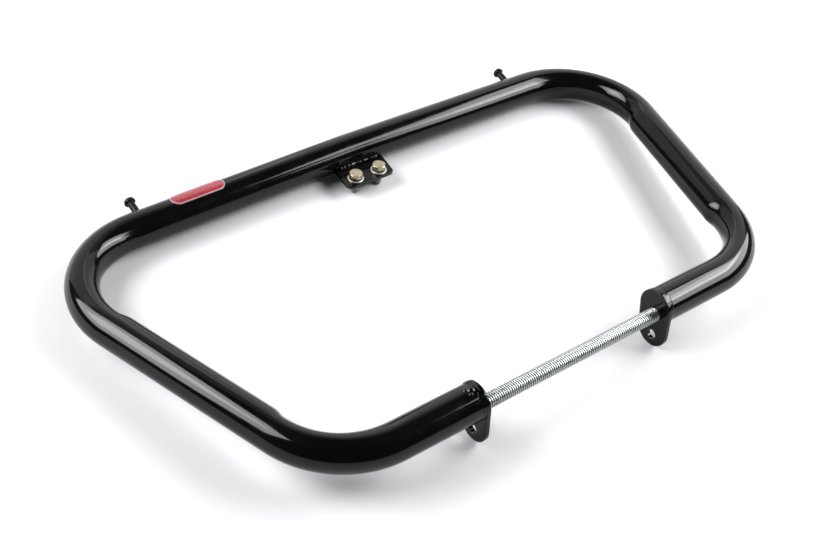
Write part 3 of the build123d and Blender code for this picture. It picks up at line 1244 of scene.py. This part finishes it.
@dataclass
class BracketBolt:
    """Hex bolt and its washer on the bracket, with painted shade where the two meet."""

    side: Side
    turn_deg: float
    bracket: FrameBracket
    radius: float = 4.0
    length: float = 16.0
    pitch: float = 1.25
    depth: float = 0.75
    rows_in_pitch: float = 10.0
    plain_shank: float = 0.8
    thread_fade: float = 1.6
    end_bevel: float = 0.8
    head_flats: float = 11.8
    head_corners: float = 12.8
    head_height: float = 5.6
    under_bevel: float = 0.25
    shoulder_ease: float = 0.12
    shoulder_lift: float = 0.02
    crown_inset: float = 0.05
    crown_dip: float = 0.03
    crown_ease: float = 0.25
    bevel_deg: float = 30.0
    # Height up the head's sides that the painted shade under it reaches
    shade_height: float = 0.9
    collar_radius: float = 5.3
    collar_height: float = 0.9
    washer_radius: float = 7.75
    washer_hole: float = 4.2
    washer_thickness: float = 1.6
    washer_round: float = 0.35
    # Rings on the washer, by their distance past the head's flats, and how much painted shade each gets
    shade_rings: Triple = (0.7, 0.4, 0.0)
    shade_shares: Triple = (0.0, 0.3, 1.0)
    # Painted shade in the thread grows this fast with depth, less an amount that keeps the crests unshaded
    thread_shade: float = 1.5
    thread_shade_offset: float = 0.5
    around: int = 72

    @property
    def spot(self) -> Array:
        """Middle of the washer's underside."""
        return np.array([*self.bracket.bolt_at(self.side), -self.bracket.drop])

    def build(self) -> None:
        """Makes the washer and the bolt."""
        self.build_washer()
        self.build_bolt()

    def build_washer(self) -> None:
        """Makes the washer: a rounded box profile carried round its axis, with painted shade under the head
        and in its hole.
        """
        edge, top = self.washer_round, self.washer_thickness
        inner, outer = self.washer_hole + edge, self.washer_radius - edge
        corner = arc(0.0, 90.0, 5) * edge
        profile = np.vstack(
            [
                np.array([outer, edge]) + corner[::-1] * (1.0, -1.0),
                np.array([outer, top - edge]) + corner,
                row_at(self.head_flats / 2.0 + np.array(self.shade_rings), top),
                np.array([inner, top - edge]) + corner[::-1] * (-1.0, 1.0),
                np.array([inner, edge]) + corner * (-1.0, -1.0),
            ]
        )
        # Painted shade: none on the outer rim, a ring under the head, full in the hole
        unshaded = np.zeros(2 * len(corner))
        groove = np.r_[unshaded, self.shade_shares, unshaded + 1.0][:, None]
        surface = SurfaceMesh()
        surface.rings(turned(profile, self.around) + self.spot, wrap_rows=True, groove=groove)
        piece = surface.made(f"washer_{self.side.word}", [PALE_YELLOW_ZINC], sharp_deg=60.0)
        stands_for(piece, f"bracket_washer_{self.side.word}")

    def head(self) -> list[list[tuple[Number, Number]]]:
        """Profiles of the head, as a radius and a height for each angle.

        The sides lie at the hexagon's distance for each angle, held to the corner circle, over a round
        collar. The bevel lowers each point by its distance past the crown circle times its tangent.

        Returns:
            Pairs of radius and height for the underside, the sides and the top.
        """
        side = hexagon(self.head_flats, full_turn(self.around) + np.pi / 6.0)
        side = np.minimum(side, self.head_corners / 2.0)
        crown, top = self.head_flats / 2.0 - self.crown_inset, self.head_height
        shoulder = top - (side - crown) * math.tan(math.radians(self.bevel_deg))
        collar, rise = self.collar_radius, self.collar_height
        lip = (side, rise + self.under_bevel)
        brow = (side - self.shoulder_ease, shoulder + self.shoulder_lift)
        under = [(self.radius, 0.0), (collar, 0.0), (collar, rise), (side - self.under_bevel, rise), lip]
        wall = [lip, (side, rise + self.shade_height), (side, shoulder - self.shoulder_ease), brow]
        cap = [brow, (crown, top - self.crown_dip), (crown - self.crown_ease, top), (crown * 0.5, top)]
        return [under, wall, cap]

    def build_bolt(self) -> None:
        """Makes the bolt: the head's rings, and a shank with the thread's radius, which fades out above."""
        angle = full_turn(self.around) + math.radians(self.turn_deg)
        height = np.linspace(0.0, self.length, int(self.length / self.pitch * self.rows_in_pitch))[:, None]
        shank = thread_radius(height, angle, self.radius, self.pitch, self.depth)
        fade = smooth_step((height - self.plain_shank) / self.thread_fade)
        shank = self.radius + (shank - self.radius) * fade
        shank = np.minimum(shank, self.radius - self.end_bevel + (self.length - height))
        seat = self.spot + np.array([0.0, 0.0, self.washer_thickness])
        thread = ring_at(angle, shank, -height) + seat
        # Painted shade on the head: full on its underside and collar, fading up its sides, a trace at its
        # brow
        painted_shade = ([1.0] * 5, [0.7, 0.3, 0.15, 0.1], [0.1, 0.0, 0.0, 0.0])
        surface = SurfaceMesh()
        for rows, groove in zip(self.head(), painted_shade):
            part = stacked_rings(angle, rows) + seat
            surface.rings(part, groove=np.array(groove)[:, None])
        # Painted shade in the thread's roots
        groove = smooth_step((self.radius - shank) / self.depth * self.thread_shade - self.thread_shade_offset)
        surface.rings(thread, slot=1, groove=groove)
        surface.disc(part[-1])
        surface.disc(thread[-1], slot=1)
        piece = surface.made(f"bolt_{self.side.word}", [YELLOW_ZINC, DULL_ZINC], sharp_deg=28.0)
        stands_for(piece, f"bracket_bolt_{self.side.word}")


# Pieces on the rail


@dataclass
class RailScrew:
    """Round-headed socket screw that stands out of the rail's back."""

    side: Side
    sizes: LoopSizes = SIZES
    radius: float = 3.35
    end_bevel: float = 0.5
    neck_round: float = 0.4
    neck_middle: float = 0.12
    head_radius: float = 5.25
    head_height: float = 4.5
    under_round: float = 0.7
    crown_radius: float = 2.5
    crown_start: float = 1.3
    socket_flats: float = 4.0
    socket_depth: float = 2.0
    socket_bevel: float = 0.15
    stand_off: float = 13.2
    depth: float = 10.0
    rise_deg: float = 12.0
    around: int = 72

    def place(self, local: Array) -> Array:
        """Stands points on the rail's left half, with Z out of the rail, and mirrors them for the right."""
        start, axes = self.sizes.rail_frame(self.sizes.screw_to_bend, self.rise_deg)
        return (start + local @ axes) * np.array([-self.side.value, 1.0, 1.0])

    def build(self) -> None:
        """Makes the screw: a profile carried round its axis, with a hexagon socket sunk in the head."""
        seat = self.sizes.tube_radius + self.stand_off
        foot = self.sizes.tube_radius - self.depth
        top = seat + self.head_height
        shank, neck, crown = self.radius, self.neck_round, self.crown_radius
        dome = (self.head_radius - crown, self.head_height - self.crown_start)
        under = np.array([self.head_radius - self.under_round, seat + self.under_round])
        profile = np.vstack(
            [
                [[shank - self.end_bevel, foot], [shank, foot + self.end_bevel], [shank, seat - neck]],
                [[shank + self.neck_middle, seat - self.neck_middle], [shank + neck, seat]],
                under + arc(-90.0, 0.0, 6) * self.under_round,
                np.array([crown, seat + self.crown_start]) + arc(0.0, 90.0, 14) * dome,
            ]
        )
        angle = full_turn(self.around)
        hex_way, bevel = hexagon(self.socket_flats, angle), self.socket_bevel
        rows = [(hex_way + bevel, top), (hex_way, top - bevel), (hex_way, top - self.socket_depth)]
        body = self.place(turned(profile, self.around))
        socket = self.place(stacked_rings(angle, [tuple(profile[-1]), *rows]))
        surface = SurfaceMesh()
        surface.rings(body)
        surface.rings(socket)
        surface.disc(body[0])
        surface.disc(socket[-1])
        piece = surface.made(f"screw_{self.side.word}", [BLACK_OXIDE], sharp_deg=32.0)
        stands_for(piece, f"rail_screw_{self.side.word}")


@dataclass
class RailBadge:
    """Pill-shaped badge bent over the top of the rail's left half, with a raised pale rim."""

    sizes: LoopSizes = SIZES
    length: float = 53.5
    width: float = 14.5
    thickness: float = 0.8
    crown: float = 0.12
    rim_width: float = 1.0
    rim_height: float = 0.3
    outer_round: float = 0.25
    outer_middle: float = 0.07
    inner_round: float = 0.2
    inner_middle: float = 0.06
    to_screw: float = 51.7
    tilt_deg: float = 5.3

    def pill(self) -> tuple[Array, Array]:
        """Samples the way round the pill: a half circle, a straight side, and both again.

        Returns:
            X on the middle line, and the direction out of it, for each sample.
        """
        straight = (self.length - self.width) / 2.0
        half = arc(-90.0, 90.0, 61)
        run = np.linspace(-straight, straight, 27)[1:-1]
        edge = np.tile([0.0, 1.0], (len(run), 1))
        x = np.r_[np.full(len(half), straight), -run, np.full(len(half), -straight), run]
        return x, np.vstack([half, edge, -half, -edge])

    def wrapped(self, rows: Array) -> Array:
        """Bends rows of distance from the pill's middle line and height over the rail.

        A point is the pill's middle line plus the distance along the way out. Its place across the rail
        is the arcsine of that distance over the tube's radius, and its height is added to that radius.

        Args:
            rows: Distance and height pairs.

        Returns:
            A grid with one row for each pair.
        """
        x, way = self.pill()
        from_bend = self.sizes.screw_to_bend + self.to_screw
        centre, (along, across, up) = self.sizes.rail_frame(from_bend, 90.0 - self.tilt_deg)
        flat_x = x + rows[:, :1] * way[:, 0]
        bend = np.arcsin(rows[:, :1] * way[:, 1] / self.sizes.tube_radius)
        shell = (self.sizes.tube_radius + rows[:, 1:])[..., None]
        round_rail = np.cos(bend)[..., None] * up + np.sin(bend)[..., None] * across
        return centre + flat_x[..., None] * along + shell * round_rail

    def build(self) -> None:
        """Makes the badge: a rim with rounded edges, a field that rises to its crown, and the underside."""
        outer, inner = self.width / 2.0, self.width / 2.0 - self.rim_width
        top = self.thickness + self.rim_height
        rim = np.array(
            [
                [outer, 0.0],
                [outer, top - self.outer_round],
                [outer - self.outer_middle, top - self.outer_middle],
                [outer - self.outer_round, top],
                [inner + self.inner_round, top],
                [inner + self.inner_middle, top - self.inner_middle],
                [inner, self.thickness],
            ]
        )
        reach = np.linspace(inner, 0.0, 8)
        rise = self.thickness + self.crown * (1.0 - (reach / inner) ** 2)
        surface = SurfaceMesh()
        surface.rings(self.wrapped(rim), slot=1)
        surface.rings(self.wrapped(np.stack([reach, rise], -1)))
        surface.rings(self.wrapped(row_at(np.linspace(0.0, outer, 5), 0.0)))
        stands_for(surface.made("rail_badge", [BADGE_RED, BADGE_RIM], sharp_deg=40.0), "badge")


# Studio


def framed(axes: Sequence[Array], place: Array) -> Matrix:
    """Makes an object's matrix.

    Args:
        axes: Directions of the object's own X, Y and Z.
        place: Where it stands, in metres.

    Returns:
        The matrix.
    """
    matrix = np.eye(4)
    matrix[:3] = np.c_[np.stack(axes, -1), place]
    return Matrix(matrix.tolist())


@dataclass(frozen=True)
class SoftBox:
    """A rectangular studio light that faces the guard."""

    name: str
    azimuth_deg: float
    elevation_deg: float
    distance: float
    width: float
    height: float
    radiance: float

    def build(self) -> None:
        """Hangs the light: its power is its radiance times its area times pi."""
        light = bpy.data.lights.new(self.name, "AREA")
        light.shape = "RECTANGLE"
        light.size, light.size_y = self.width, self.height
        light.energy = self.radiance * math.pi * self.width * self.height
        a, e = math.radians(self.azimuth_deg), math.radians(self.elevation_deg)
        out = np.array([math.sin(a) * math.cos(e), math.cos(a) * math.cos(e), math.sin(e)])
        left = np.array([-math.cos(a), math.sin(a), 0.0])
        lamp = bpy.data.objects.new(self.name, light)
        lamp.matrix_world = framed([left, np.cross(out, left), out], out * self.distance)
        bpy.context.scene.collection.objects.link(lamp)


@dataclass
class Studio:
    """Pale floor, soft lights and the camera."""

    floor_half: float = 12.0
    floor_lines: int = 9
    floor_gap: float = 0.0002
    ambient: Colour = (0.085, 0.085, 0.09)
    focal_px: float = 1243.64
    pitch_deg: float = 41.126
    yaw_deg: float = -41.262
    roll_deg: float = 6.321
    eye: Triple = (-579.088, -773.221, 696.851)
    image_width: float = 828.0
    sensor: float = 36.0
    clip: Span = (0.01, 100.0)
    boxes: tuple[SoftBox, ...] = (
        SoftBox("softbox_right_low", 113.0, 30.0, 1.9, 1.95, 0.70, 9.5),
        SoftBox("softbox_right_high", 109.0, 45.0, 1.9, 1.36, 0.66, 11.0),
        SoftBox("softbox_right_heart", 112.0, 41.5, 1.88, 0.95, 0.34, 7.7),
        SoftBox("softbox_left", -58.0, 36.5, 1.9, 1.38, 1.38, 11.0),
        SoftBox("softbox_left_heart", -58.0, 37.5, 1.88, 0.66, 0.62, 8.8),
        SoftBox("back_wall_left", 0.0, 22.5, 2.4, 2.20, 1.95, 1.0),
        SoftBox("back_wall_right", 50.0, 22.5, 2.4, 2.20, 1.95, 1.3),
        SoftBox("back_wall_high", 20.0, 51.0, 2.4, 2.40, 0.62, 0.45),
    )

    def build(self) -> None:
        """Lays the floor, hangs the lights and sets the camera."""
        self.build_floor()
        for box in self.boxes:
            box.build()
        self.build_world()
        self.build_camera()
        bpy.context.scene.view_settings.view_transform = "Standard"
        log.info("studio ready: %d lights", len(self.boxes))

    def build_floor(self) -> None:
        """Lays the paper floor just under the guard."""
        line = np.linspace(-self.floor_half, self.floor_half, self.floor_lines)
        x, y = np.meshgrid(line, line)
        points = np.stack([x, y, np.full_like(x, -self.floor_gap)], -1).reshape(-1, 3)
        mesh = bpy.data.meshes.new("studio_floor")
        mesh.from_pydata(points.tolist(), [], cells(np.arange(x.size).reshape(x.shape)).tolist())
        mesh.materials.append(dressed_in(PAPER))
        floor = bpy.data.objects.new("studio_floor", mesh)
        bpy.context.scene.collection.objects.link(floor)

    def build_world(self) -> None:
        """Fills the room with a dim even light."""
        world = bpy.data.worlds.new("studio_room")
        world.use_nodes = True
        back = world.node_tree.nodes["Background"]
        back.inputs["Color"].default_value = (*self.ambient, 1.0)
        back.inputs["Strength"].default_value = 1.0
        bpy.context.scene.world = world

    def build_camera(self) -> None:
        """Sets the camera: yaw about Z, pitch down and a little roll, turned with the guard to the floor."""
        pitch, yaw, roll = (math.radians(v) for v in (self.pitch_deg, self.yaw_deg, self.roll_deg))
        level = np.array([math.cos(yaw), math.sin(yaw), 0.0])
        ahead = np.array([-math.sin(yaw), math.cos(yaw), 0.0])
        z = np.array([0.0, 0.0, 1.0])
        forward = ahead * math.cos(pitch) - z * math.sin(pitch)
        upright = ahead * math.sin(pitch) + z * math.cos(pitch)
        right = level * math.cos(roll) + upright * math.sin(roll)
        up = upright * math.cos(roll) - level * math.sin(roll)
        axes = np.stack([right, up, -forward]) @ REST.turn.T
        lens = bpy.data.cameras.new("photo_camera")
        lens.sensor_width = self.sensor
        lens.lens = self.focal_px / self.image_width * self.sensor
        lens.clip_start, lens.clip_end = self.clip
        camera = bpy.data.objects.new("photo_camera", lens)
        camera.matrix_world = framed(axes, REST.points(np.array(self.eye)))
        bpy.context.scene.collection.objects.link(camera)
        bpy.context.scene.camera = camera


def main() -> None:
    """Builds the guard piece by piece, then the studio round it."""
    logging.basicConfig(level=logging.INFO, format="%(name)s: %(message)s")
    GuardTube().build()
    for side in Side:
        EndPlate(side).build()
        RailScrew(side).build()
    EndWeld(Side.LEFT, LEFT_DROPS).build()
    EndWeld(Side.RIGHT).build()
    ThreadedStud().build()
    bracket = FrameBracket()
    bracket.build()
    RootWeld(BracketFace.UPPER, seed=11, bracket=bracket).build()
    RootWeld(BracketFace.LOWER, seed=23, bracket=bracket).build()
    BracketBolt(Side.LEFT, turn_deg=20.0, bracket=bracket).build()
    BracketBolt(Side.RIGHT, turn_deg=50.0, bracket=bracket).build()
    RailBadge().build()
    Studio().build()


if __name__ == "__main__":
    main()
